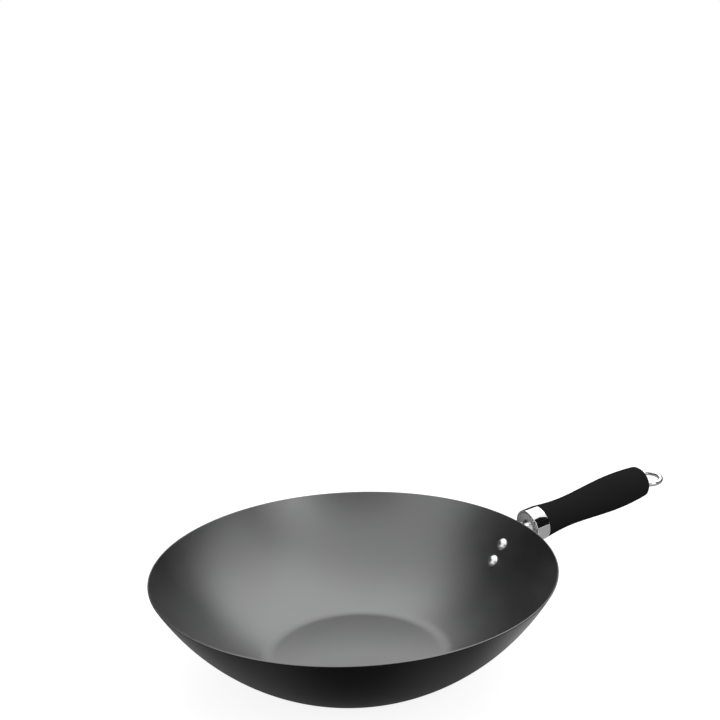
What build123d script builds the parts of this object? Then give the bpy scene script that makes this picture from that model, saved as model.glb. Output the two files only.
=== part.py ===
from build123d import *
from math import acos, cos, degrees, hypot, radians, sin, sqrt, tan
import os

# Carbon steel wok with one long handle. Millimetres and degrees.
# The origin is the centre of the flat base, +Z is up and the handle points along +X.

# Bowl, pressed from one sheet
rim_radius = 180.0
bowl_depth = 91.6
base_edge_radius = 82.0
wall_curve_radius = 210.0
base_corner_radius = 30.0
bowl_sheet = 1.2
rim_edge_round = 0.4

# Rivets through the wall and the bracket's pad, placed by their drop below the rim
rivet_drops = (23.1, 37.6)
rivet_shank_radius = 2.8
rivet_head_radius = 6.1
rivet_head_height = 3.4
rivet_tail_radius = 4.5
rivet_tail_height = 1.7
rivet_edge_height = 0.5

# Handle line: how far past and below the rim it meets the ferrule, and how it climbs outwards
ferrule_past_rim = 15.3
handle_drop = 11.4
handle_climb_angle = 6.7

# Bracket of folded steel sheet: a pad on the wall, then arm and tang in one section.
# The arm spreads at its root on the pad and flares against the plate, each in a hollow curve
# that has reached only a share of its spread halfway
bracket_sheet = 1.5
pad_top_drop = 4.0
pad_below_rivet = 10.5
pad_top_width = 26.0
pad_bottom_width = 17.0
pad_top_corner = 5.0
pad_bottom_corner = 7.5
arm_width = 10.2
arm_above_axis = 6.0
arm_below_axis = 4.9
arm_seam_gap = 0.4
tang_length = 55.0
halfway_share = 0.3
root_length = 5.0
root_spread = 2.4
flare_length = 5.0
flare_width = 14.8
flare_height = 13.2
flare_corner = 4.5
flare_mouth = 4.4

# Ferrule, a thin chromed collar with a lip at its front, and the plate behind that lip
ferrule_length = 15.6
ferrule_front_radius = 16.8
ferrule_back_radius = 17.0
ferrule_wall = 1.3
ferrule_lip = 0.9
ferrule_lip_overlap = 1.2
ferrule_front_round = 0.8
ferrule_back_round = 0.9
plate_thickness = 1.5

# Grip, moulded around the tang's socket and the rod's bore
grip_length = 136.4
grip_front_radius = 16.8
grip_waist_radius = 14.5
grip_swell_radius = 17.9
grip_end_radius = 16.0
grip_waist_place = 34.2
grip_rise_radius = 16.0
grip_rise_place = 61.3
grip_swell_place = 95.5
grip_dome_height = 3.4
grip_front_round = 0.5
grip_end_round = 1.6
grip_front_slope = 0.14
grip_end_slope = 0.11
socket_end_space = 1.0

# Hanging loop, a wire eye on a rod that screws into the nut held in the tang and comes to rest
# turned by a few degrees about that rod
loop_outer_radius = 15.0
loop_wire_radius = 2.6
loop_centre_beyond = 8.1
loop_turn_angle = 6.0
rod_radius = 2.0
rod_past_nut = 2.0
rod_tip_chamfer = 0.5
nut_length = 4.0
nut_from_end = 1.0

# Clearances, and how far a cut runs past what it cuts
seat_gap = 0.1
slide_gap = 0.25
thread_gap = 0.05
overrun = 5.0


# Wall arc, through the sharp corner of the base and the rim's outer edge
chord_width = rim_radius - base_edge_radius
chord = hypot(chord_width, bowl_depth)
centre_share = sqrt(wall_curve_radius**2 - (chord / 2) ** 2) / chord
wall_centre_x = (base_edge_radius + rim_radius) / 2 - bowl_depth * centre_share
wall_centre_z = bowl_depth / 2 + chord_width * centre_share


def outward(angle):
    """Direction in the XZ plane at an angle from straight down."""
    return (sin(radians(angle)), 0, -cos(radians(angle)))


def wall_angle(drop):
    """Angle between straight down and the wall's outward normal, at a drop below the rim."""
    return degrees(acos((wall_centre_z - bowl_depth + drop) / wall_curve_radius))


def wall_point(angle, out=0.0):
    """Point of the XZ plane that stands out from the wall's outer face by out."""
    reach = wall_curve_radius + out
    return (wall_centre_x + reach * sin(radians(angle)), wall_centre_z - reach * cos(radians(angle)))


def wall_plane(angle):
    """Plane on the wall's outer face: X to the side, Y up the wall, Z out of it."""
    x, z = wall_point(angle)
    return Plane(origin=(x, 0, z), x_dir=(0, 1, 0), z_dir=outward(angle))


def cap_radius(half_width, height):
    """Radius of the ball whose cap has this half width and height."""
    return (half_width**2 + height**2) / (2 * height)


# Handle frame: its origin is the centre of the ferrule's front, and distances run outwards
ferrule_reach = rim_radius + ferrule_past_rim
handle_angle = 90 + handle_climb_angle
handle_out = outward(handle_angle)
handle_origin = (ferrule_reach, 0, bowl_depth - handle_drop)
handle_axis = Axis(handle_origin, handle_out)
section_plane = Plane(origin=handle_origin, x_dir=(0, 1, 0), z_dir=handle_out)
profile_plane = Plane(origin=handle_origin, x_dir=handle_out, z_dir=(0, -1, 0))
top_plane = Plane(origin=handle_origin, x_dir=handle_out, z_dir=section_plane.y_dir)
loop_plane = top_plane.rotated((loop_turn_angle, 0, 0))

# Places along the handle
plate_front = ferrule_lip + seat_gap
plate_back = plate_front + plate_thickness
spigot_front = plate_back + seat_gap
grip_front = ferrule_length + seat_gap
grip_end = grip_front + grip_length
loop_ring_radius = loop_outer_radius - loop_wire_radius
loop_centre = grip_end + loop_centre_beyond
nut_back = tang_length - nut_from_end
nut_front = nut_back - nut_length
rod_tip = nut_front - rod_past_nut

# Radii inside the ferrule
ferrule_bore_radius = ferrule_front_radius - ferrule_wall
lip_radius = ferrule_bore_radius - ferrule_lip_overlap
spigot_radius = ferrule_bore_radius - seat_gap

# Section of arm and tang: two rolled humps meet in a seam along the top
arm_height = arm_above_axis + arm_below_axis
arm_middle = (arm_above_axis - arm_below_axis) / 2
hump_radius = (arm_width - arm_seam_gap) / 4
hump_line_radius = hump_radius - bracket_sheet / 2
hump_centre_x = arm_seam_gap / 2 + hump_radius
hump_centre_y = arm_above_axis - hump_radius
side_line_x = (arm_width - bracket_sheet) / 2
bottom_line_y = bracket_sheet / 2 - arm_below_axis


def arm_block(gap=0.0, mode=Mode.ADD):
    """Outline of the block that the folded section fills, wider by a gap on every side."""
    with Locations((0, arm_middle)):
        RectangleRounded(arm_width + 2 * gap, arm_height + 2 * gap, hump_radius + gap, mode=mode)


def root_outline(height, spread):
    """The arm's outline on a plane that leans to it, spread to the sides and the top."""
    with Locations((0, arm_middle * height / arm_height + spread / 2)):
        RectangleRounded(arm_width + 2 * spread, height + spread, hump_radius + spread)


def flare_outline(share):
    """Outline between that of the arm, where share is 0, and the flare's mouth, where it is 1."""
    with Locations((0, arm_middle)):
        RectangleRounded(
            arm_width + (flare_width - arm_width) * share,
            arm_height + (flare_height - arm_height) * share,
            hump_radius + (flare_corner - hump_radius) * share,
        )


# Pressed bowl with the two rivet holes
with BuildPart() as wok_bowl:
    with BuildSketch(Plane.XZ) as bowl_section:
        with BuildLine() as bowl_outline:
            base_line = Line((0, 0), (base_edge_radius, 0))
            RadiusArc(base_line @ 1, (rim_radius, bowl_depth), -wall_curve_radius)
            fillet(bowl_outline.vertices().sort_by(Axis.X)[1], base_corner_radius)
            offset(amount=bowl_sheet, side=Side.LEFT)
        make_face()
        fillet(bowl_section.vertices().sort_by(Axis.Y)[-2:], rim_edge_round)
    revolve(axis=Axis.Z)
    for drop in rivet_drops:
        with BuildSketch(wall_plane(wall_angle(drop))):
            Circle(rivet_shank_radius + thread_gap)
        extrude(amount=overrun, both=True, mode=Mode.SUBTRACT)
wok_bowl.part.label = "wok_bowl"


# Rivets: domed head in the bowl, shank through wall and pad, low upset tail outside
head_seat = bowl_sheet + seat_gap
head_edge = head_seat + rivet_edge_height
head_top = head_seat + rivet_head_height
tail_seat = seat_gap + bracket_sheet + seat_gap
tail_edge = tail_seat + rivet_edge_height
tail_top = tail_seat + rivet_tail_height
head_dome_radius = cap_radius(rivet_head_radius, head_top - head_edge)
tail_dome_radius = cap_radius(rivet_tail_radius, tail_top - tail_edge)

with BuildPart() as rivets:
    for drop in rivet_drops:
        outside = wall_plane(wall_angle(drop))
        with BuildSketch(Plane(outside.origin, x_dir=outside.x_dir, z_dir=-outside.y_dir)):
            with BuildLine():
                Line((0, -head_top), (0, tail_top))
                RadiusArc((0, tail_top), (rivet_tail_radius, tail_edge), tail_dome_radius)
                Polyline(
                    (rivet_tail_radius, tail_edge),
                    (rivet_tail_radius, tail_seat),
                    (rivet_shank_radius, tail_seat),
                    (rivet_shank_radius, -head_seat),
                    (rivet_head_radius, -head_seat),
                    (rivet_head_radius, -head_edge),
                )
                RadiusArc((rivet_head_radius, -head_edge), (0, -head_top), head_dome_radius)
            make_face()
        revolve(axis=Axis(outside.origin, outside.z_dir))
rivets.part.label = "rivets"


# Bracket. The pad is a piece of the wall's own curve, trimmed to a tapered outline
pad_top_angle = wall_angle(pad_top_drop)
pad_bottom_angle = wall_angle(max(rivet_drops)) - degrees(pad_below_rivet / wall_curve_radius)
pad_height = radians(pad_top_angle - pad_bottom_angle) * wall_curve_radius
pad_plane = wall_plane((pad_top_angle + pad_bottom_angle) / 2)
pad_side_angle = degrees(pad_top_width / wall_point(pad_bottom_angle)[0])
overrun_angle = degrees(overrun / wall_curve_radius)
pad_curve_bottom = wall_point(pad_bottom_angle - overrun_angle, seat_gap)
pad_curve_top = wall_point(pad_top_angle + overrun_angle, seat_gap)
pad_side_dir = (cos(radians(pad_side_angle)), -sin(radians(pad_side_angle)), 0)
pad_side_plane = Plane(origin=(0, 0, 0), x_dir=pad_side_dir, z_dir=(pad_side_dir[1], -pad_side_dir[0], 0))

with BuildPart() as pad:
    with BuildSketch(pad_side_plane):
        with BuildLine():
            RadiusArc(pad_curve_bottom, pad_curve_top, -(wall_curve_radius + seat_gap))
            offset(amount=bracket_sheet, side=Side.RIGHT)
        make_face()
    revolve(axis=Axis.Z, revolution_arc=2 * pad_side_angle)
    with BuildSketch(pad_plane) as pad_outline:
        with BuildLine():
            Polyline(
                (-pad_top_width / 2, pad_height / 2),
                (pad_top_width / 2, pad_height / 2),
                (pad_bottom_width / 2, -pad_height / 2),
                (-pad_bottom_width / 2, -pad_height / 2),
                close=True,
            )
        make_face()
        fillet(pad_outline.vertices().sort_by(Axis.Y)[:2], pad_bottom_corner)
        fillet(pad_outline.vertices().sort_by(Axis.Y)[-2:], pad_top_corner)
    extrude(amount=overrun, both=True, mode=Mode.INTERSECT)

# Where the arm meets the wall: the wall leans to it there, which stretches the arm's section
arm_inside = ferrule_reach - wall_point(wall_angle(handle_drop + arm_below_axis))[0] + overrun
root_angle = wall_angle(handle_drop)
root_lean = radians(handle_angle - root_angle)
root_reach = (wall_point(root_angle)[0] - ferrule_reach) * sin(radians(root_angle)) / cos(root_lean)
root_end = root_reach + arm_above_axis * tan(root_lean) + root_length
root_start_plane = Plane(section_plane.offset(root_reach).origin, (0, 1, 0), outward(root_angle))
root_bend_place = section_plane.offset((root_reach + root_end) / 2).origin
root_bend_plane = Plane(root_bend_place, (0, 1, 0), outward((root_angle + handle_angle) / 2))

with BuildPart() as handle_bracket:
    # Root that spreads onto the pad, and flare that meets the plate
    with BuildSketch(root_start_plane):
        root_outline(arm_height / cos(root_lean), root_spread)
    with BuildSketch(root_bend_plane):
        root_outline(arm_height / cos(root_lean / 2), root_spread * halfway_share)
    with BuildSketch(section_plane.offset(root_end)):
        arm_block()
    loft()
    with BuildSketch(section_plane.offset(-flare_length)):
        arm_block()
    with BuildSketch(section_plane.offset(-flare_length / 2)):
        flare_outline(halfway_share)
    with BuildSketch(section_plane.offset(plate_front - seat_gap)):
        flare_outline(1)
    loft()
    # Room in both for the arm that passes through them
    with BuildSketch(section_plane.offset(-arm_inside)):
        arm_block()
    extrude(amount=arm_inside + plate_front, mode=Mode.SUBTRACT)
    # Arm and tang, one sheet bent round to a seam
    with BuildSketch(section_plane.offset(-arm_inside)):
        with BuildLine():
            for side in (-1, 1):
                CenterArc((side * hump_centre_x, hump_centre_y), hump_line_radius, 0, 180)
            FilletPolyline(
                (-side_line_x, hump_centre_y),
                (-side_line_x, bottom_line_y),
                (side_line_x, bottom_line_y),
                (side_line_x, hump_centre_y),
                radius=hump_line_radius,
            )
        trace(line_width=bracket_sheet)
    extrude(amount=arm_inside + tang_length)
    # The seam's edges part where the flare opens
    with BuildSketch(top_plane.offset(hump_centre_y)):
        with BuildLine():
            Polyline(
                (-flare_length, 0),
                (plate_front - seat_gap, -flare_mouth / 2),
                (plate_front - seat_gap, flare_mouth / 2),
                close=True,
            )
        make_face()
    extrude(amount=flare_height, mode=Mode.SUBTRACT)
    # What would reach inside the line of the wall is cleared, and the pad closes the arm's root
    with BuildSketch(Plane.XZ):
        with BuildLine():
            RadiusArc(pad_curve_bottom, pad_curve_top, -(wall_curve_radius + seat_gap))
            Polyline(pad_curve_top, (0, pad_curve_top[1]), (0, pad_curve_bottom[1]), pad_curve_bottom)
        make_face()
    revolve(axis=Axis.Z, mode=Mode.SUBTRACT)
    add(pad.part)
    for drop in rivet_drops:
        with BuildSketch(wall_plane(wall_angle(drop))):
            Circle(rivet_shank_radius + thread_gap)
        extrude(amount=bracket_sheet + overrun / 2, both=True, mode=Mode.SUBTRACT)
handle_bracket.part.label = "handle_bracket"


# Ferrule: open collar with rounded outer corners and a lip that holds the plate
with BuildPart() as ferrule:
    with BuildSketch(profile_plane) as ferrule_section:
        with BuildLine():
            Polyline(
                (0, lip_radius),
                (0, ferrule_front_radius),
                (ferrule_length, ferrule_back_radius),
                (ferrule_length, ferrule_bore_radius),
                (ferrule_lip, ferrule_bore_radius),
                (ferrule_lip, lip_radius),
                close=True,
            )
        make_face()
        front_corner = ferrule_section.vertices().sort_by(Axis.X)[:2].sort_by(Axis.Y)[-1]
        fillet(front_corner, ferrule_front_round)
        back_corner = ferrule_section.vertices().sort_by_distance((ferrule_length, ferrule_back_radius))[0]
        fillet(back_corner, ferrule_back_round)
    revolve(axis=handle_axis)
ferrule.part.label = "ferrule"

# Plate across the ferrule's front, cut for the arm
with BuildPart() as ferrule_plate:
    with BuildSketch(section_plane.offset(plate_front)):
        Circle(spigot_radius)
        arm_block(slide_gap, mode=Mode.SUBTRACT)
    extrude(amount=plate_thickness)
ferrule_plate.part.label = "ferrule_plate"


# Grip: spigot for the ferrule, waist, swell and domed end
with BuildPart() as grip:
    with BuildSketch(profile_plane) as grip_section:
        with BuildLine():
            shoulder = (grip_front, grip_front_radius)
            end_shoulder = (grip_end - grip_dome_height, grip_end_radius)
            Polyline(
                (grip_end, 0),
                (spigot_front, 0),
                (spigot_front, spigot_radius),
                (grip_front, spigot_radius),
                shoulder,
            )
            Spline(
                shoulder,
                (grip_front + grip_waist_place, grip_waist_radius),
                (grip_front + grip_rise_place, grip_rise_radius),
                (grip_front + grip_swell_place, grip_swell_radius),
                end_shoulder,
                tangents=((1, -grip_front_slope), (1, -grip_end_slope)),
            )
            RadiusArc(end_shoulder, (grip_end, 0), cap_radius(grip_end_radius, grip_dome_height))
        make_face()
        fillet(grip_section.vertices().sort_by_distance(shoulder)[0], grip_front_round)
        fillet(grip_section.vertices().sort_by_distance(end_shoulder)[0], grip_end_round)
    revolve(axis=handle_axis)
    with BuildSketch(section_plane.offset(spigot_front)):
        arm_block(slide_gap)
    extrude(amount=tang_length + socket_end_space - spigot_front, mode=Mode.SUBTRACT)
    with BuildSketch(section_plane.offset(tang_length)):
        Circle(rod_radius + slide_gap)
    extrude(amount=grip_end - tang_length + overrun, mode=Mode.SUBTRACT)
    with Locations(loop_plane):
        with Locations((loop_centre, 0, 0)):
            Torus(loop_ring_radius, loop_wire_radius + slide_gap, mode=Mode.SUBTRACT)
grip.part.label = "grip"


# Hanging loop: wire eye in line with the grip, on its rod
with BuildPart() as hanging_loop:
    with Locations(loop_plane):
        with Locations((loop_centre, 0, 0)):
            Torus(loop_ring_radius, loop_wire_radius)
    with BuildSketch(section_plane.offset(rod_tip)):
        Circle(rod_radius)
    extrude(amount=loop_centre - loop_ring_radius - rod_tip)
    chamfer(hanging_loop.edges().filter_by(GeomType.CIRCLE).sort_by(Axis.X)[0], rod_tip_chamfer)
hanging_loop.part.label = "hanging_loop"

# Nut that the rod screws into, a block that fills the tang's bore
nut_width = arm_width - 2 * bracket_sheet - 2 * seat_gap
nut_half_height = arm_below_axis - bracket_sheet - seat_gap
with BuildPart() as tang_nut:
    with BuildSketch(section_plane.offset(nut_front)):
        RectangleRounded(nut_width, 2 * nut_half_height, hump_radius - bracket_sheet)
        Circle(rod_radius + thread_gap, mode=Mode.SUBTRACT)
    extrude(amount=nut_length)
tang_nut.part.label = "tang_nut"


os.makedirs("parts", exist_ok=True)
for piece in (wok_bowl, rivets, handle_bracket, ferrule, ferrule_plate, grip, hanging_loop, tang_nut):
    export_step(piece.part, f"parts/{piece.part.label}.step")
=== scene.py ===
# %% [markdown]
# # A carbon steel wok in studio light
#
# The wok is one pressed bowl with a folded steel arm riveted to it, a chromed collar, a moulded
# grip and a wire eye to hang it by. The frame brings the real sizes and places of those parts.
# This lesson turns the bowl, rivets, collar and grip as clean lathe meshes around the same sizes,
# gives every part a finish made of nodes, and lights the whole like a product photograph.

from math import acos, asin, atan2, cos, degrees, pi, radians, sin, sqrt

import bpy
import numpy as np
from mathutils import Matrix, Vector


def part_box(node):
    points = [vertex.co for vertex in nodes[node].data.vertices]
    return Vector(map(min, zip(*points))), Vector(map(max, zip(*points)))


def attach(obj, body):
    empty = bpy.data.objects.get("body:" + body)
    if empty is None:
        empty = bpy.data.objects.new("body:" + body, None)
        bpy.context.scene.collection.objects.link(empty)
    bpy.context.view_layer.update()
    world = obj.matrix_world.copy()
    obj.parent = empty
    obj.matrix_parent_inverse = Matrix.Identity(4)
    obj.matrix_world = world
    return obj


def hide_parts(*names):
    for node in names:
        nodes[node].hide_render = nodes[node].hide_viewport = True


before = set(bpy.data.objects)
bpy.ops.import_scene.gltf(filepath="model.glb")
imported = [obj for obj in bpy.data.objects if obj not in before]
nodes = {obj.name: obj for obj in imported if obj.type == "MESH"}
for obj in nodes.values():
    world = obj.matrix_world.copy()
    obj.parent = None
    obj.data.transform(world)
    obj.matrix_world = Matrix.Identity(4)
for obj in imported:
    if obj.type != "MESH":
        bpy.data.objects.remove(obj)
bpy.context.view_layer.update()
mm = 0.001
for name in sorted(nodes):
    low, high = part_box(name)
    print(name, [round(x / mm, 1) for x in low], [round(x / mm, 1) for x in high])

# %% [markdown]
# ## A lathe made of two operators
#
# Nearly all of a wok is turned or spun: the bowl on a spinning lathe, the collar and the grip
# around the handle's own line. Such a piece could start as a cylinder that is scaled ring by
# ring, but half an outline swept around an axis says the same with far fewer numbers. The helper
# merges a small plane to one vertex, extrudes that vertex from point to point along the outline,
# and spins the chain. Doubles are merged afterwards, where the turn meets its own start, and the
# normals are worked out again because a spin can leave them inside out.

# %% Outline and spin
start_size = 1 * mm
merge_distance = 0.001 * mm


def only(piece):
    """Leaves piece as the one selected and active object."""
    bpy.ops.object.select_all(action="DESELECT")
    piece.select_set(True)
    bpy.context.view_layer.objects.active = piece


def draw_outline(name, points):
    """Draws a chain of edges through points of the XZ plane by extruding one vertex."""
    bpy.ops.object.select_all(action="DESELECT")
    bpy.ops.mesh.primitive_plane_add(size=start_size)
    piece = bpy.context.object
    piece.name = name
    bpy.ops.object.mode_set(mode="EDIT")
    bpy.ops.mesh.select_all(action="SELECT")
    bpy.ops.mesh.merge(type="CENTER")
    places = [Vector((x, 0, z)) for x, z in points]
    bpy.ops.transform.translate(value=places[0])
    for before, after in zip(places, places[1:]):
        bpy.ops.mesh.extrude_region_move(TRANSFORM_OT_translate={"value": after - before})
    bpy.ops.object.mode_set(mode="OBJECT")
    return piece


def turn(name, points, axis, steps):
    """Spins an outline once around an axis through the origin and closes the turn."""
    piece = draw_outline(name, points)
    bpy.ops.object.mode_set(mode="EDIT")
    bpy.ops.mesh.select_all(action="SELECT")
    bpy.ops.mesh.spin(steps=steps, angle=2 * pi, center=(0, 0, 0), axis=axis)
    bpy.ops.mesh.select_all(action="SELECT")
    bpy.ops.mesh.remove_doubles(threshold=merge_distance)
    bpy.ops.mesh.normals_make_consistent(inside=False)
    bpy.ops.object.mode_set(mode="OBJECT")
    return piece


# %% Arcs, rounded edges and smooth shading
def arc(centre, radius, start, end, steps):
    """Points of an arc, with angles in degrees from the first axis of the outline's plane."""
    turns = np.linspace(radians(start), radians(end), steps + 1)
    return [(centre[0] + radius * cos(t), centre[1] + radius * sin(t)) for t in turns]


def round_edges(piece, width, segments, sharper_than):
    """Adds a bevel for the edges sharper than an angle in degrees; returns the modifier."""
    bevel = piece.modifiers.new("rounds", "BEVEL")
    bevel.width = width
    bevel.segments = segments
    bevel.limit_method = "ANGLE"
    bevel.angle_limit = radians(sharper_than)
    return bevel


def apply_all(piece):
    """Applies the piece's modifiers in order."""
    only(piece)
    for modifier in list(piece.modifiers):
        bpy.ops.object.modifier_apply(modifier=modifier.name)


def shade_smooth(piece, up_to):
    """Shades a piece smooth over all edges up to an angle in degrees."""
    only(piece)
    bpy.ops.object.shade_smooth_by_angle(angle=radians(up_to))


# %% [markdown]
# ## The bowl
#
# The real bowl is one disc of 1.2 mm sheet, pressed and spun to a flat bottom and a wall that is
# a single long arc, steeper towards the rim. It could be a sphere cut with a boolean, but the
# wall is not part of a sphere around the middle. So the outline is drawn as it is on a drawing:
# a straight base, a soft corner arc and the wall's arc. Only the outer skin is turned. Solidify
# then gives the sheet its thickness inwards, and puts the inside and the cut edge in their own
# material slots, so that the three finishes meet exactly at the edges of the rim. One more ring
# of points lies 1 mm below the rim: it keeps the soft shading of the rounded edge to that last
# millimetre, where the next ring down would smear it over four.

# %% Bowl sizes
rim_radius = 180.0 * mm
bowl_depth = 91.6 * mm
base_radius = 82.0 * mm
wall_radius = 210.0 * mm
corner_radius = 30.0 * mm
sheet = 1.2 * mm
rim_round = 0.4 * mm

# The wall's arc passes through the sharp corner of the base and through the rim
chord = Vector((rim_radius - base_radius, bowl_depth))
middle = Vector((base_radius + rim_radius, bowl_depth)) / 2
inwards = Vector((-chord.y, chord.x)).normalized()
wall_centre = middle + inwards * sqrt(wall_radius**2 - (chord.length / 2) ** 2)
corner_reach = sqrt((wall_radius - corner_radius) ** 2 - (wall_centre.y - corner_radius) ** 2)
corner_centre = Vector((wall_centre.x + corner_reach, corner_radius))


def angle_on_wall(point):
    """Angle of a point on the wall's arc, in degrees from the outline's first axis."""
    return degrees(atan2(point[1] - wall_centre.y, point[0] - wall_centre.x))


wall_start = angle_on_wall(corner_centre)
wall_end = angle_on_wall((rim_radius, bowl_depth))
print("wall centre", [round(x / mm, 2) for x in wall_centre])
print("wall turns by", round(wall_end - wall_start, 1), "degrees")

# %% Turn the bowl
base_steps = 6
corner_steps = 8
wall_steps = 36
bowl_steps = 240
edge_ring_drop = 1.0 * mm
edge_ring = degrees(edge_ring_drop / wall_radius)

outline = [(corner_centre.x * i / base_steps, 0) for i in range(base_steps)]
outline += arc(corner_centre, corner_radius, -90, wall_start, corner_steps)
outline += arc(wall_centre, wall_radius, wall_start, wall_end - edge_ring, wall_steps)[1:]
outline += arc(wall_centre, wall_radius, wall_end, wall_end, 0)
bowl = turn("bowl", outline, (0, 0, 1), bowl_steps)
# On an open skin the operator can't tell the inside from the outside, so the base decides
if bowl.data.polygons[0].normal.z > 0:
    bpy.ops.object.mode_set(mode="EDIT")
    bpy.ops.mesh.select_all(action="SELECT")
    bpy.ops.mesh.flip_normals()
    bpy.ops.object.mode_set(mode="OBJECT")
print("outer skin", len(bowl.data.polygons), "faces")

# %% Give the sheet its thickness
bowl_finishes = ("outside coat", "inside coat", "bare rim edge")

only(bowl)
for _ in bowl_finishes:
    bpy.ops.object.material_slot_add()
wall = bowl.modifiers.new("sheet", "SOLIDIFY")
wall.thickness = sheet
wall.offset = -1
wall.use_even_offset = True
wall.material_offset = bowl_finishes.index("inside coat")
wall.material_offset_rim = bowl_finishes.index("bare rim edge")
rim_bevel = round_edges(bowl, rim_round, segments=2, sharper_than=40)
rim_bevel.use_clamp_overlap = False
apply_all(bowl)
shade_smooth(bowl, up_to=50)
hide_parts("wok_bowl")
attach(bowl, "root")
print("bowl", len(bowl.data.polygons), "faces")
print("bowl measures", [round(x / mm, 2) for x in bowl.dimensions], "mm")

# %% [markdown]
# ## The rivets
#
# Two solid rivets hold the handle. Their heads are low domes inside the bowl, and their tails are
# pressed flat domes outside. A squashed sphere would have no foot, so the whole rivet is one
# turned outline, from the tail over the shank to the crown. It is modelled once, and the copy
# gets its own mesh before both are leaned to the wall.

# %% Rivet sizes
bracket_sheet = 1.5 * mm
seat_gap = 0.1 * mm
shank_radius = 2.8 * mm
head_radius = 6.1 * mm
head_height = 3.4 * mm
tail_radius = 4.5 * mm
tail_height = 1.7 * mm
foot_height = 0.5 * mm
rivet_edge_round = 0.25 * mm
dome_steps = 12


def dome(foot, height, steps, up):
    """Points of a low dome from its foot to its crown on the axis; up is 1 or -1."""
    radius = (foot**2 + height**2) / (2 * height)
    return [
        (radius * sin(t), up * (radius * cos(t) - (radius - height)))
        for t in np.linspace(asin(foot / radius), 0, steps + 1)
    ]


head = dome(head_radius, head_height - foot_height, dome_steps, 1)
tail = dome(tail_radius, tail_height - foot_height, dome_steps, -1)
print("head", round(2 * head_radius / mm, 1), "mm wide")
print("tail", round(2 * tail_radius / mm, 1), "mm wide")

# %% Turn one rivet
rivet_steps = 48
head_seat = sheet + seat_gap
tail_seat = 2 * seat_gap + bracket_sheet

outline = [(r, z - tail_seat - foot_height) for r, z in reversed(tail)]
outline += [(tail_radius, -tail_seat), (shank_radius, -tail_seat), (shank_radius, head_seat)]
outline += [(head_radius, head_seat)]
outline += [(r, z + head_seat + foot_height) for r, z in head]
rivet = turn("rivet_1", outline, (0, 0, 1), rivet_steps)
round_edges(rivet, rivet_edge_round, segments=3, sharper_than=35)
apply_all(rivet)
shade_smooth(rivet, up_to=40)
print("rivet", len(rivet.data.polygons), "faces")


# %% Lean two rivets to the wall
def set_down(piece, turn_by, place):
    """Moves a piece made around the origin to its place and leaves that place in its mesh."""
    only(piece)
    piece.rotation_euler = turn_by
    piece.location = place
    bpy.ops.object.transform_apply(location=True, rotation=True, scale=True)


rivet_drops = (23.1 * mm, 37.6 * mm)

rivets = [rivet]
only(rivet)
bpy.ops.object.duplicate()
rivets.append(bpy.context.object)
rivets[1].name = "rivet_2"
for piece, drop in zip(rivets, rivet_drops):
    lean = acos((wall_centre.y - bowl_depth + drop) / wall_radius)
    foot = (wall_centre.x + wall_radius * sin(lean), 0, wall_centre.y - wall_radius * cos(lean))
    set_down(piece, (0, -lean, 0), foot)
    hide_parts("rivets")
    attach(piece, "root")
    print(piece.name, "leans", round(degrees(lean), 1), "degrees")
    print(piece.name, "stands at", [round(x / mm, 1) for x in foot])

# %% [markdown]
# ## The handle's own line
#
# Collar and grip are turned around a line that leaves the wall and climbs a little outwards.
# They could be modelled in place with tilted cursors, but it is easier to make them lying along
# X, with the collar's front at zero, and to lean them at the end. The line's height is measured
# from the collar in the frame: its own vertices, turned back by the climb, give it exactly.

# %% Measure the handle's line
climb = radians(6.7)
level = Matrix.Rotation(climb, 3, "Y")


def along_handle(node):
    """Lowest and highest corner of a CAD node in axes that lie along the handle."""
    points = np.array([level @ v.co for v in nodes[node].data.vertices])
    return points.min(0), points.max(0)


ferrule_low, ferrule_high = along_handle("ferrule")
grip_high = along_handle("grip")[1]
line_height = (ferrule_low[2] + ferrule_high[2]) / 2
handle_place = level.inverted() @ Vector((ferrule_low[0], 0, line_height))
ferrule_length = ferrule_high[0] - ferrule_low[0]
grip_end = grip_high[0] - ferrule_low[0]
print("collar front at", [round(x / mm, 2) for x in handle_place])
print("collar length", round(ferrule_length / mm, 2), "mm")


def seat_on_handle(piece, node):
    """Leans a piece made along X onto the handle's line, hides its node and attaches it to the
    root.
    """
    set_down(piece, (0, -climb, 0), handle_place)
    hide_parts(node)
    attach(piece, "root")
    print(piece.name, len(piece.data.polygons), "faces")


# %% [markdown]
# ## The collar
#
# A drawn steel cup without a bottom, chromed and polished. Mirror metal shows every corner, so
# its outline has true small arcs at the front corner and at the lip, and the skin between them
# is one straight stretch that widens by 0.2 mm, as a drawn cup does. A bevel modifier could
# round the corners too, but arcs in the outline keep their size all the way round.

# %% Collar sizes
front_radius = 16.8 * mm
back_radius = 17.0 * mm
ferrule_wall = 1.3 * mm
lip = 0.9 * mm
lip_overlap = 1.2 * mm
front_round = 0.8 * mm
back_round = 0.9 * mm
lip_round = 0.2 * mm

bore = front_radius - ferrule_wall
lip_bore = bore - lip_overlap
print("opening for the plate", round(2 * lip_bore / mm, 1), "mm wide")

# %% Turn the collar
corner_points = 8
lip_points = 4
ferrule_steps = 128

back = ferrule_length
outline = arc((front_round, front_radius - front_round), front_round, 180, 90, corner_points)
outline += arc((back - back_round, back_radius - back_round), back_round, 90, 0, corner_points)
outline += [(back, bore), (lip, bore)]
outline += arc((lip - lip_round, lip_bore + lip_round), lip_round, 0, -90, lip_points)
outline += arc((lip_round, lip_bore + lip_round), lip_round, -90, -180, lip_points)
outline += outline[:1]
collar = turn("collar", outline, (1, 0, 0), ferrule_steps)
shade_smooth(collar, up_to=30)
seat_on_handle(collar, "ferrule")

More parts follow.
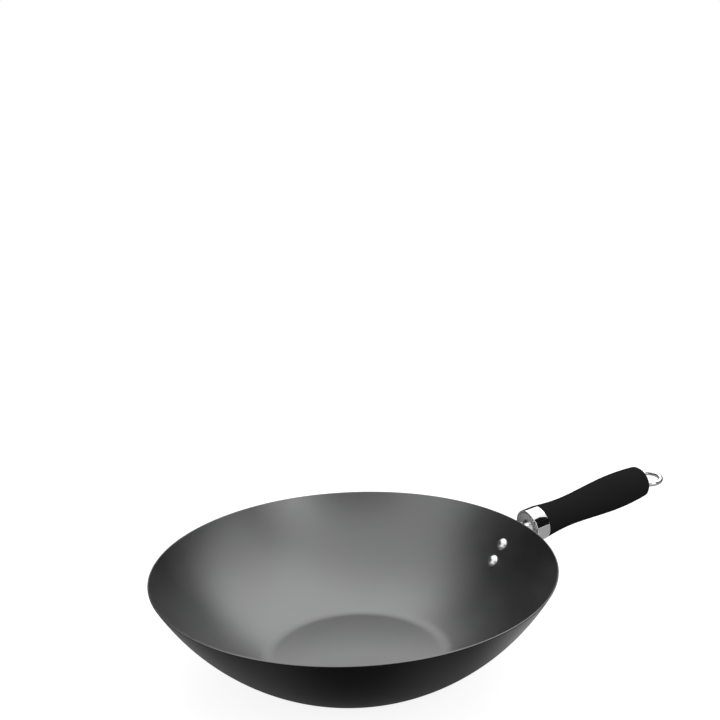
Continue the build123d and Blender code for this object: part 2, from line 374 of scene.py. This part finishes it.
# %% [markdown]
# ## The grip
#
# One moulding with a waist behind the collar, a swell where the palm closes and a domed end. It
# could be sculpted from a cylinder with proportional editing. Here its side is a smooth cubic
# curve through the five places that give the real one its shape, so the light runs along it
# without a bump. The wire eye is bedded in the dome: a torus, a little thicker than the wire,
# cuts its groove.

# %% Grip sizes and side curve
grip_front = ferrule_length + seat_gap
grip_length = grip_end - grip_front
dome_height = 3.4 * mm
end_round = 1.6 * mm
front_edge_round = 0.5 * mm
side_places = np.array((0.0, 34.2, 61.3, 95.5, 133.0)) * mm
side_radii = np.array((16.8, 14.5, 16.0, 17.9, 16.0)) * mm
front_slope = -0.14
end_slope = -0.11


def side_slopes(places, radii, first, last):
    """Slopes that join the places with one smooth cubic curve, given the slopes at its ends."""
    gaps = np.diff(places)
    rises = np.diff(radii) / gaps
    count = len(places)
    rows = np.eye(count)
    known = np.zeros(count)
    known[0] = first
    known[-1] = last
    for i in range(1, count - 1):
        rows[i, i - 1] = gaps[i]
        rows[i, i] = 2 * (gaps[i - 1] + gaps[i])
        rows[i, i + 1] = gaps[i - 1]
        known[i] = 3 * (rises[i - 1] * gaps[i] + rises[i] * gaps[i - 1])
    return np.linalg.solve(rows, known)


slopes = side_slopes(side_places, side_radii, front_slope, end_slope)


def side_radius(x):
    """Radius of the grip's side at a distance from its front."""
    i = int(np.clip(np.searchsorted(side_places, x) - 1, 0, len(side_places) - 2))
    gap = side_places[i + 1] - side_places[i]
    t = (x - side_places[i]) / gap
    start = (2 * t**3 - 3 * t**2 + 1) * side_radii[i] + (t**3 - 2 * t**2 + t) * gap * slopes[i]
    end = (3 * t**2 - 2 * t**3) * side_radii[i + 1] + (t**3 - t**2) * gap * slopes[i + 1]
    return start + end


print("grip", round(grip_length / mm, 1), "mm long, slopes", slopes.round(3))

# %% Turn the grip
grip_steps = 96
side_points = 60
end_points = 14
plate_thickness = 1.5 * mm
shoulder_round = 0.7 * mm
spigot_radius = bore - seat_gap
spigot_front = lip + seat_gap + plate_thickness + seat_gap

side_end = side_places[-1]
dome_radius = (side_radii[-1] ** 2 + dome_height**2) / (2 * dome_height)
dome_turn = asin(side_radii[-1] / dome_radius)
outline = [(spigot_front, 0), (spigot_front, spigot_radius), (grip_front, spigot_radius)]
outline += [(grip_front, side_radii[0] - front_edge_round)]
side = np.linspace(front_edge_round, side_end - end_round, side_points)
outline += [(grip_front + x, side_radius(x)) for x in side]
outline += [
    (grip_front + side_end + dome_height - dome_radius * (1 - cos(t)), dome_radius * sin(t))
    for t in np.linspace(dome_turn - end_round / dome_radius, 0, end_points)
]
grip = turn("grip_moulding", outline, (1, 0, 0), grip_steps)
round_edges(grip, shoulder_round, segments=4, sharper_than=20)
apply_all(grip)
print("dome radius", round(dome_radius / mm, 1), "mm")
print("dome turns by", round(degrees(dome_turn), 1), "degrees")

# %% Cut the eye's groove
loop_radius = 12.4 * mm
wire_radius = 2.6 * mm
loop_beyond = 8.1 * mm
loop_turn = radians(6)
groove_gap = 0.25 * mm

bpy.ops.object.select_all(action="DESELECT")
bpy.ops.mesh.primitive_torus_add(
    location=(grip_end + loop_beyond, 0, 0),
    rotation=(loop_turn, 0, 0),
    major_radius=loop_radius,
    minor_radius=wire_radius + groove_gap,
    major_segments=96,
    minor_segments=32,
)
groove = bpy.context.object
cut = grip.modifiers.new("groove", "BOOLEAN")
cut.operation = "DIFFERENCE"
cut.object = groove
apply_all(grip)
bpy.data.objects.remove(groove)
shade_smooth(grip, up_to=30)
seat_on_handle(grip, "grip")

# %% [markdown]
# ## Shared effects as node groups
#
# Three effects come back in several finishes. Fine grain is the orange peel of a sprayed coat or
# the texture of a mould. Soft mottle is the slow change of sheen that handling and spraying
# leave. Brush lines are the marks of a brush on a spinning or sliding part. Each could be
# painted again in every material, but one group with named inputs keeps them alike, and every
# material sets its own size and strength.

# %% Node helpers
def new_group(name, inputs, outputs):
    """A shader node group with its sockets; returns the group, its input and its output node."""
    group = bpy.data.node_groups.new(name, "ShaderNodeTree")
    for label, kind, value in inputs:
        socket = group.interface.new_socket(name=label, in_out="INPUT", socket_type=kind)
        if value is not None:
            socket.default_value = value
    for label, kind in outputs:
        group.interface.new_socket(name=label, in_out="OUTPUT", socket_type=kind)
    return group, group.nodes.new("NodeGroupInput"), group.nodes.new("NodeGroupOutput")


def math_node(tree, operation, first, second):
    """A Math node whose two inputs are numbers or sockets; returns its output."""
    node = tree.nodes.new("ShaderNodeMath")
    node.operation = operation
    for socket, value in zip(node.inputs, (first, second)):
        if isinstance(value, (int, float)):
            socket.default_value = value
        else:
            tree.links.new(value, socket)
    return node.outputs[0]


def noise_node(tree, vector, scale, detail, roughness):
    """A Noise Texture on a vector; returns its value output."""
    node = tree.nodes.new("ShaderNodeTexNoise")
    node.inputs["Detail"].default_value = detail
    node.inputs["Roughness"].default_value = roughness
    tree.links.new(vector, node.inputs["Vector"])
    if isinstance(scale, (int, float)):
        node.inputs["Scale"].default_value = scale
    else:
        tree.links.new(scale, node.inputs["Scale"])
    return node.outputs["Fac"]


# %% Fine grain
finer_by = 2.7
finer_share = 0.4

grain_group, grain_in, grain_out = new_group(
    "fine grain",
    [("Vector", "NodeSocketVector", None), ("Grain Size", "NodeSocketFloat", 0.5 * mm)],
    [("Height", "NodeSocketFloat")],
)
grain_scale = math_node(grain_group, "DIVIDE", 1.0, grain_in.outputs["Grain Size"])
grain_where = grain_in.outputs["Vector"]
coarse = noise_node(grain_group, grain_where, grain_scale, detail=2.0, roughness=0.5)
finer_scale = math_node(grain_group, "MULTIPLY", grain_scale, finer_by)
finer = noise_node(grain_group, grain_where, finer_scale, detail=1.0, roughness=0.5)
finer_part = math_node(grain_group, "MULTIPLY", finer, finer_share)
grain_sum = math_node(grain_group, "ADD", coarse, finer_part)
grain_group.links.new(grain_sum, grain_out.inputs["Height"])
print(grain_group.name, "has", len(grain_group.nodes), "nodes")

# %% Soft mottle
noise_low = 0.3
noise_high = 0.7

mottle_group, mottle_in, mottle_out = new_group(
    "soft mottle",
    [
        ("Vector", "NodeSocketVector", None),
        ("Patch Size", "NodeSocketFloat", 60 * mm),
        ("Lowest", "NodeSocketFloat", 0.4),
        ("Highest", "NodeSocketFloat", 0.5),
    ],
    [("Value", "NodeSocketFloat"), ("Mask", "NodeSocketFloat")],
)
patch_scale = math_node(mottle_group, "DIVIDE", 1.0, mottle_in.outputs["Patch Size"])
mottle_where = mottle_in.outputs["Vector"]
patches = noise_node(mottle_group, mottle_where, patch_scale, detail=3.0, roughness=0.55)
spread = mottle_group.nodes.new("ShaderNodeMapRange")
spread.inputs["From Min"].default_value = noise_low
spread.inputs["From Max"].default_value = noise_high
mottle_group.links.new(patches, spread.inputs["Value"])
mottle_group.links.new(mottle_in.outputs["Lowest"], spread.inputs["To Min"])
mottle_group.links.new(mottle_in.outputs["Highest"], spread.inputs["To Max"])
mottle_group.links.new(spread.outputs["Result"], mottle_out.inputs["Value"])
mottle_group.links.new(patches, mottle_out.inputs["Mask"])
print(mottle_group.name, "has", len(mottle_group.nodes), "nodes")

# %% Brush lines
lines_group, lines_in, lines_out = new_group(
    "brush lines",
    [
        ("Vector", "NodeSocketVector", None),
        ("Line Width", "NodeSocketFloat", 0.15 * mm),
        ("Line Length", "NodeSocketFloat", 12 * mm),
    ],
    [("Height", "NodeSocketFloat")],
)
split = lines_group.nodes.new("ShaderNodeSeparateXYZ")
join = lines_group.nodes.new("ShaderNodeCombineXYZ")
lines_group.links.new(lines_in.outputs["Vector"], split.inputs[0])
for axis, size in zip("XYZ", ("Line Length", "Line Width", "Line Width")):
    scaled = math_node(lines_group, "DIVIDE", split.outputs[axis], lines_in.outputs[size])
    lines_group.links.new(scaled, join.inputs[axis])
streaks = noise_node(lines_group, join.outputs[0], 1.0, detail=3.0, roughness=0.6)
lines_group.links.new(streaks, lines_out.inputs["Height"])
print(lines_group.name, "has", len(lines_group.nodes), "nodes")

# %% [markdown]
# ## Finishes
#
# Every finish is a Principled surface whose roughness, colour and bump change a little over the
# part, on Object coordinates, so the grain is as fine on the bowl as on the grip. A small kit of
# helpers places the groups; each material then says only what is its own.

# %% Material helpers
def new_material(name, colour, metallic, roughness, specular=0.5):
    """A Principled material with its constant values; returns the material and its shader."""
    material = bpy.data.materials.new(name)
    material.use_nodes = True
    shader = material.node_tree.nodes["Principled BSDF"]
    shader.inputs["Base Color"].default_value = (*colour, 1)
    shader.inputs["Metallic"].default_value = metallic
    shader.inputs["Roughness"].default_value = roughness
    shader.inputs["Specular IOR Level"].default_value = specular
    return material, shader


def place_group(material, group, **values):
    """Places a node group on the material's Object coordinates, with its input values."""
    tree = material.node_tree
    node = tree.nodes.new("ShaderNodeGroup")
    node.node_tree = group
    where = tree.nodes.new("ShaderNodeTexCoord")
    tree.links.new(where.outputs["Object"], node.inputs["Vector"])
    for label, value in values.items():
        node.inputs[label.replace("_", " ")].default_value = value
    return node


def add_bump(material, shader, height, distance):
    """Bumps the shader's normal by a height output that stands for a real distance."""
    tree = material.node_tree
    bump = tree.nodes.new("ShaderNodeBump")
    bump.inputs["Strength"].default_value = 1.0
    bump.inputs["Distance"].default_value = distance
    tree.links.new(height, bump.inputs["Height"])
    tree.links.new(bump.outputs["Normal"], shader.inputs["Normal"])


def vary_roughness(material, shader, patch, low, high):
    """Lets the roughness drift between two values over patches of a real size."""
    node = place_group(material, mottle_group, Patch_Size=patch, Lowest=low, Highest=high)
    material.node_tree.links.new(node.outputs["Value"], shader.inputs["Roughness"])
    return node


def vary_colour(material, shader, mask, dark, light):
    """Mixes two near colours over the surface by a mask."""
    tree = material.node_tree
    mix = tree.nodes.new("ShaderNodeMix")
    mix.data_type = "RGBA"
    mix.inputs["A"].default_value = (*dark, 1)
    mix.inputs["B"].default_value = (*light, 1)
    tree.links.new(mask, mix.inputs["Factor"])
    tree.links.new(mix.outputs["Result"], shader.inputs["Base Color"])


# %% [markdown]
# ### Coating, inside and outside
#
# Inside, the coat is a dark grey with a metallic satin: it holds a broad soft highlight that
# fades to near black where the wall turns away. Outside it is a plain near-black enamel with a
# low sheen. Both are sprayed, so both have the same orange peel at their own strength. The cut
# edge of the rim is bare steel. One material with a mask by height could hold all three, but the
# sheet's own slots already part them exactly, so each finish is a material.

# %% Inside coat
inside_dark = (0.186, 0.192, 0.193)
inside_light = (0.205, 0.202, 0.203)

inside_coat, shader = new_material(
    "inside coat", (0.195, 0.197, 0.198), metallic=1.0, roughness=0.37
)
mottle = vary_roughness(inside_coat, shader, patch=55 * mm, low=0.35, high=0.40)
vary_colour(inside_coat, shader, mottle.outputs["Mask"], inside_dark, inside_light)
grain = place_group(inside_coat, grain_group, Grain_Size=0.55 * mm)
add_bump(inside_coat, shader, grain.outputs["Height"], distance=0.004 * mm)
print(inside_coat.name, "has", len(inside_coat.node_tree.nodes), "nodes")

# %% Outside coat and rim
outside_coat, shader = new_material(
    "outside coat", (0.0074, 0.0074, 0.0076), metallic=0.0, roughness=0.25, specular=0.1
)
vary_roughness(outside_coat, shader, patch=50 * mm, low=0.23, high=0.28)
grain = place_group(outside_coat, grain_group, Grain_Size=0.6 * mm)
add_bump(outside_coat, shader, grain.outputs["Height"], distance=0.006 * mm)

rim_metal, shader = new_material(
    "bare rim edge", (0.19, 0.19, 0.187), metallic=1.0, roughness=0.35
)
lines = place_group(rim_metal, lines_group, Line_Width=0.2 * mm, Line_Length=0.2 * mm)
add_bump(rim_metal, shader, lines.outputs["Height"], distance=0.003 * mm)

for slot, material in zip(bowl.material_slots, (outside_coat, inside_coat, rim_metal)):
    slot.material = material
print("bowl faces by finish", np.bincount([face.material_index for face in bowl.data.polygons]))

# %% [markdown]
# ### Chrome, rivets, satin steel
#
# The collar, the arm and the eye are chromed: nearly a mirror. It could have a noise in its
# colour, but that looks like dirt, so only the roughness drifts, by a trace. On the arm, faint
# lines from its polishing run along the sheet under the chrome. Rivets are polished aluminium,
# a touch softer. The plate in the collar and the hidden nut are satin steel.

# %% Chrome
chrome_blue = 1.005


def chrome(name, tone, low, high):
    """Plated mirror metal; tone is its brightness, low and high its roughness."""
    colour = (tone, tone, tone * chrome_blue)
    material, shader = new_material(name, colour, metallic=1.0, roughness=low)
    vary_roughness(material, shader, patch=7 * mm, low=low, high=high)
    return material


collar_chrome = chrome("collar chrome", tone=0.86, low=0.03, high=0.06)
eye_chrome = chrome("eye chrome", tone=0.84, low=0.05, high=0.1)

arm_chrome, shader = new_material(
    "arm chrome", (0.72, 0.72, 0.73), metallic=1.0, roughness=0.14
)
vary_roughness(arm_chrome, shader, patch=9 * mm, low=0.1, high=0.18)
lines = place_group(arm_chrome, lines_group, Line_Width=0.25 * mm, Line_Length=14 * mm)
add_bump(arm_chrome, shader, lines.outputs["Height"], distance=0.002 * mm)
print("chromed:", [metal.name for metal in (collar_chrome, eye_chrome, arm_chrome)])

# %% Rivet aluminium and satin steel
rivet_metal, shader = new_material(
    "polished aluminium", (0.88, 0.88, 0.89), metallic=1.0, roughness=0.3
)
vary_roughness(rivet_metal, shader, patch=3 * mm, low=0.26, high=0.34)

plate_steel, shader = new_material(
    "satin steel", (0.78, 0.78, 0.78), metallic=0.15, roughness=0.36
)
vary_roughness(plate_steel, shader, patch=6 * mm, low=0.32, high=0.4)
lines = place_group(plate_steel, lines_group, Line_Width=0.18 * mm, Line_Length=0.6 * mm)
add_bump(plate_steel, shader, lines.outputs["Height"], distance=0.006 * mm)
print("not plated:", [metal.name for metal in (rivet_metal, plate_steel)])

# %% [markdown]
# ### Grip plastic
#
# Matt black with a fine mould texture. Pure black would be simpler, but it swallows the form, so
# there is a little grey in it. Such a skin gives back hardly any gloss: the specular level is
# zero, and the light falls on it as one soft band.

# %% Grip material
grip_dark = (0.0217, 0.0219, 0.0222)
grip_light = (0.0239, 0.0241, 0.0244)

grip_plastic, shader = new_material(
    "matt grip", (0.0228, 0.023, 0.0233), metallic=0.0, roughness=0.7, specular=0.0
)
mottle = vary_roughness(grip_plastic, shader, patch=30 * mm, low=0.66, high=0.76)
vary_colour(grip_plastic, shader, mottle.outputs["Mask"], grip_dark, grip_light)
grain = place_group(grip_plastic, grain_group, Grain_Size=0.35 * mm)
add_bump(grip_plastic, shader, grain.outputs["Height"], distance=0.012 * mm)
print(grip_plastic.name, "has", len(grip_plastic.node_tree.nodes), "nodes")

# %% [markdown]
# ### Dress the pieces
#
# The bowl already has its three finishes. Every other piece has one, and so have the parts that
# come from the frame as they are: the folded arm, the plate, the eye and the hidden nut. Their
# meshes already have the real shape, so they could only lose by being modelled again.

# %% Give each piece its finish
finishes = {
    collar: collar_chrome,
    grip: grip_plastic,
    rivets[0]: rivet_metal,
    rivets[1]: rivet_metal,
    nodes["handle_bracket"]: arm_chrome,
    nodes["ferrule_plate"]: plate_steel,
    nodes["hanging_loop"]: eye_chrome,
    nodes["tang_nut"]: plate_steel,
}
for piece, material in finishes.items():
    piece.data.materials.clear()
    piece.data.materials.append(material)
    print(piece.name, "has", material.name)

# %% [markdown]
# ## Camera
#
# The place and the turn of the camera come from the photograph: the ellipse of the rim, the
# bowl's lower outline and the handle's outline agree with a 50 mm lens not quite a metre away.
# A longer lens from further off could frame the same bowl, but from so near the far handle looks
# smaller, as it should. The camera is turned about three axes in the order a tripod has them:
# pan, tilt and roll.

# %% Set the camera
image_side = 720
focal_pixels = 1000.0
sensor = 36.0
camera_place = Vector((-387.7, -733.7, 461.9)) * mm
pan = radians(28.74)
tilt = radians(12.64)
roll = radians(-2.11)
far_clip = 50.0

camera = bpy.data.objects.new("camera", bpy.data.cameras.new("camera"))
bpy.context.scene.collection.objects.link(camera)
camera.data.sensor_width = sensor
camera.data.lens = focal_pixels / image_side * sensor
camera.data.clip_end = far_clip
panned = Matrix.Rotation(-pan, 4, "Z")
tilted = Matrix.Rotation(pi / 2 - tilt, 4, "X")
rolled = Matrix.Rotation(roll, 4, "Z")
camera.matrix_world = Matrix.Translation(camera_place) @ panned @ tilted @ rolled
bpy.context.scene.camera = camera
print("lens", round(camera.data.lens, 2), "mm, distance", round(camera_place.length, 3), "m")

# %% [markdown]
# ## Studio
#
# The satin coat works like a soft mirror, so the light on the bowl is laid out by what each part
# of it looks at. The flat bottom looks at the back of the room, a third of the way up, and the
# lower wall looks overhead: one large soft box leans over both. The far wall looks back past the
# camera, where a smaller soft box stands at the right. The left wall looks to the right near the
# floor and the right wall looks to the left, so black cards keep the sheen down there: a low ring,
# one larger card at the left, and one around the camera. A tall narrow card at the right makes the
# black patch on the collar. Lamps that light only some parts could do all this too, but cards work
# as in a real studio.

# %% Places in the room
view_right = Vector((cos(pan), -sin(pan), 0))
view_back = Vector((sin(pan), cos(pan), 0))
bowl_middle = Vector((0, 0, bowl_depth / 2))


def studio_place(turn_by, lift, distance):
    """A place seen from the bowl: turned from the back to the right and lifted, in degrees."""
    level_part = view_back * cos(radians(turn_by)) + view_right * sin(radians(turn_by))
    upward = Vector((0, 0, sin(radians(lift))))
    return bowl_middle + (level_part * cos(radians(lift)) + upward) * distance


def face_bowl(place):
    """Matrix that stands at a place and looks at the bowl."""
    look = (bowl_middle - place).to_track_quat("-Z", "Y")
    return Matrix.Translation(place) @ look.to_matrix().to_4x4()


print("right of the view is", [round(x, 3) for x in view_right])

# %% Soft boxes
lamp_distance = 2.2


def soft_box(name, place, width, height, brightness):
    """A rectangular area lamp that faces the bowl; brightness is 1 where white would be."""
    lamp = bpy.data.lights.new(name, "AREA")
    lamp.shape = "RECTANGLE"
    lamp.size = width
    lamp.size_y = height
    lamp.energy = brightness * pi * width * height
    holder = bpy.data.objects.new(name, lamp)
    holder.matrix_world = face_bowl(place)
    bpy.context.scene.collection.objects.link(holder)
    print(name, round(lamp.energy, 1), "W")


top_place = studio_place(turn_by=16.5, lift=59, distance=lamp_distance)
side_place = studio_place(turn_by=140.5, lift=35.3, distance=lamp_distance)
soft_box("top soft box", top_place, width=3.25, height=2.98, brightness=0.8)
soft_box("side soft box", side_place, width=1.55, height=0.95, brightness=1.15)

# %% [markdown]
# ### Black cards
#
# In a studio, black cards stand around a shiny piece and give it dark edges. They could be dark
# patches in the colour of the world, but as planes that face the bowl they can be moved one by
# one. Only reflections see them, so they take no light from the grip and throw no shadow.

# %% Black cards
card_distance = 2.0
low_lift = 12.5
low_turns = range(-64, 111, 29)

card_black, shader = new_material(
    "card black", (0.01, 0.01, 0.01), metallic=0.0, roughness=0.9, specular=0.1
)


def only_in_reflections(card, material):
    """Hides a piece of the studio from all but the reflections."""
    card.data.materials.append(material)
    card.visible_camera = False
    card.visible_diffuse = False
    card.visible_shadow = False


def black_card(name, turn_by, lift, width, height):
    """A black card that faces the bowl, turned from the back to the right and lifted."""
    bpy.ops.object.select_all(action="DESELECT")
    bpy.ops.mesh.primitive_plane_add(size=1)
    card = bpy.context.object
    card.name = name
    place = studio_place(turn_by, lift, card_distance)
    card.matrix_world = face_bowl(place) @ Matrix.Diagonal((width, height, 1, 1))
    only_in_reflections(card, card_black)


for turn_by in low_turns:
    black_card(f"low card {turn_by}", turn_by, low_lift, width=1.1, height=0.98)
black_card("left card", turn_by=-63, lift=29, width=2.28, height=1.29)
black_card("front card", turn_by=180, lift=32.3, width=1.72, height=1.03)
black_card("right card", turn_by=113, lift=26, width=0.6, height=1.8)
print(len(low_turns) + 3, "cards")

# %% [markdown]
# ### A light table
#
# A dim disc just above the floor, again seen by reflections alone: the outside of the bowl and
# the collar's lower half look at it. It could be one even tone, but then the whole outside of the
# bowl would be one grey too. So shade is painted into its glow: it is darker under the bowl as a
# painted shadow, darkest in front of it and where the collar's front edge looks, and brighter at
# the right as a painted highlight. Each spot is a factor that fades to 1.

# %% Glow of the light table
table_brightness = 0.36
# painted shade on the glow: the bowl's shadow under it, dark spots in front and by the collar, and
# one painted bright patch at the right
painted_light_and_shade_spots = (
    # place, core and edge in mm, and the factor within the core
    ((0, 0, 0), 100, 180, 0.35),
    ((-90, -157, 0), 15, 105, 0.3),
    ((170, -150, 0), 40, 130, 2.0),
    ((120, 116, 0), 15, 90, 0.3),
)


def spot(tree, place, core, edge, factor):
    """A value that is factor within core of a place and fades to 1 at the distance edge."""
    where = tree.nodes.new("ShaderNodeTexCoord")
    reach = tree.nodes.new("ShaderNodeVectorMath")
    reach.operation = "DISTANCE"
    reach.inputs[1].default_value = place
    tree.links.new(where.outputs["Object"], reach.inputs[0])
    fade = tree.nodes.new("ShaderNodeMapRange")
    fade.interpolation_type = "SMOOTHSTEP"
    fade.inputs["From Min"].default_value = core
    fade.inputs["From Max"].default_value = edge
    fade.inputs["To Min"].default_value = factor
    tree.links.new(reach.outputs["Value"], fade.inputs["Value"])
    return fade.outputs["Result"]


table_glow, shader = new_material(
    "table glow", (0, 0, 0), metallic=0.0, roughness=1.0, specular=0.0
)
shader.inputs["Emission Strength"].default_value = table_brightness
tree = table_glow.node_tree
factors = [
    spot(tree, Vector(place) * mm, core * mm, edge * mm, factor)
    for place, core, edge, factor in painted_light_and_shade_spots
]
glow = factors[0]
for factor in factors[1:]:
    glow = math_node(tree, "MULTIPLY", glow, factor)
tree.links.new(glow, shader.inputs["Emission Color"])
print("table glow of", len(factors), "spots")

# %% Lay the light table
studio_radius = 1.5
studio_sides = 64
table_height = 0.3 * mm


def flat_disc(name, height):
    """A disc as wide as the studio, at a height over the floor."""
    bpy.ops.object.select_all(action="DESELECT")
    bpy.ops.mesh.primitive_circle_add(
        vertices=studio_sides, radius=studio_radius, fill_type="NGON", location=(0, 0, height)
    )
    bpy.context.object.name = name
    return bpy.context.object


light_table = flat_disc("light table", table_height)
only_in_reflections(light_table, table_glow)
print(light_table.name, "is", round(light_table.dimensions.x, 2), "m wide")

# %% [markdown]
# ### Floor and room
#
# The wok stands on a pale floor in a white room. More light could make the floor white, but it
# would wash out the wok. So the floor itself is a middle grey, and Light Path adds the white for
# the camera and for reflections alone. The wok's shadow stays on it, and the room gives only a
# low, even light.

# %% White floor
floor_tone = 0.45
floor_lift = 0.87


def seen_directly(tree):
    """A value that is 1 for rays from the camera, a reflection or a glass, and otherwise 0."""
    paths = tree.nodes.new("ShaderNodeLightPath").outputs
    seen = math_node(tree, "MAXIMUM", paths["Is Camera Ray"], paths["Is Glossy Ray"])
    return math_node(tree, "MAXIMUM", seen, paths["Is Transmission Ray"])


floor_white, shader = new_material(
    "floor white", (floor_tone,) * 3, metallic=0.0, roughness=0.9, specular=0.0
)
shader.inputs["Emission Color"].default_value = (1, 1, 1, 1)
tree = floor_white.node_tree
lift = math_node(tree, "MULTIPLY", seen_directly(tree), floor_lift)
tree.links.new(lift, shader.inputs["Emission Strength"])

floor = flat_disc("floor", 0)
floor.data.materials.append(floor_white)
print(floor.name, "has", floor_white.name)

# %% White room
ambient = 0.45

world = bpy.data.worlds.new("studio")
bpy.context.scene.world = world
world.use_nodes = True
tree = world.node_tree
background = tree.nodes["Background"]
background.inputs["Color"].default_value = (1, 1, 1, 1)
strength = math_node(tree, "MAXIMUM", seen_directly(tree), ambient)
tree.links.new(strength, background.inputs["Strength"])
bpy.context.scene.view_settings.view_transform = "Standard"
print("room light", ambient, "of white")
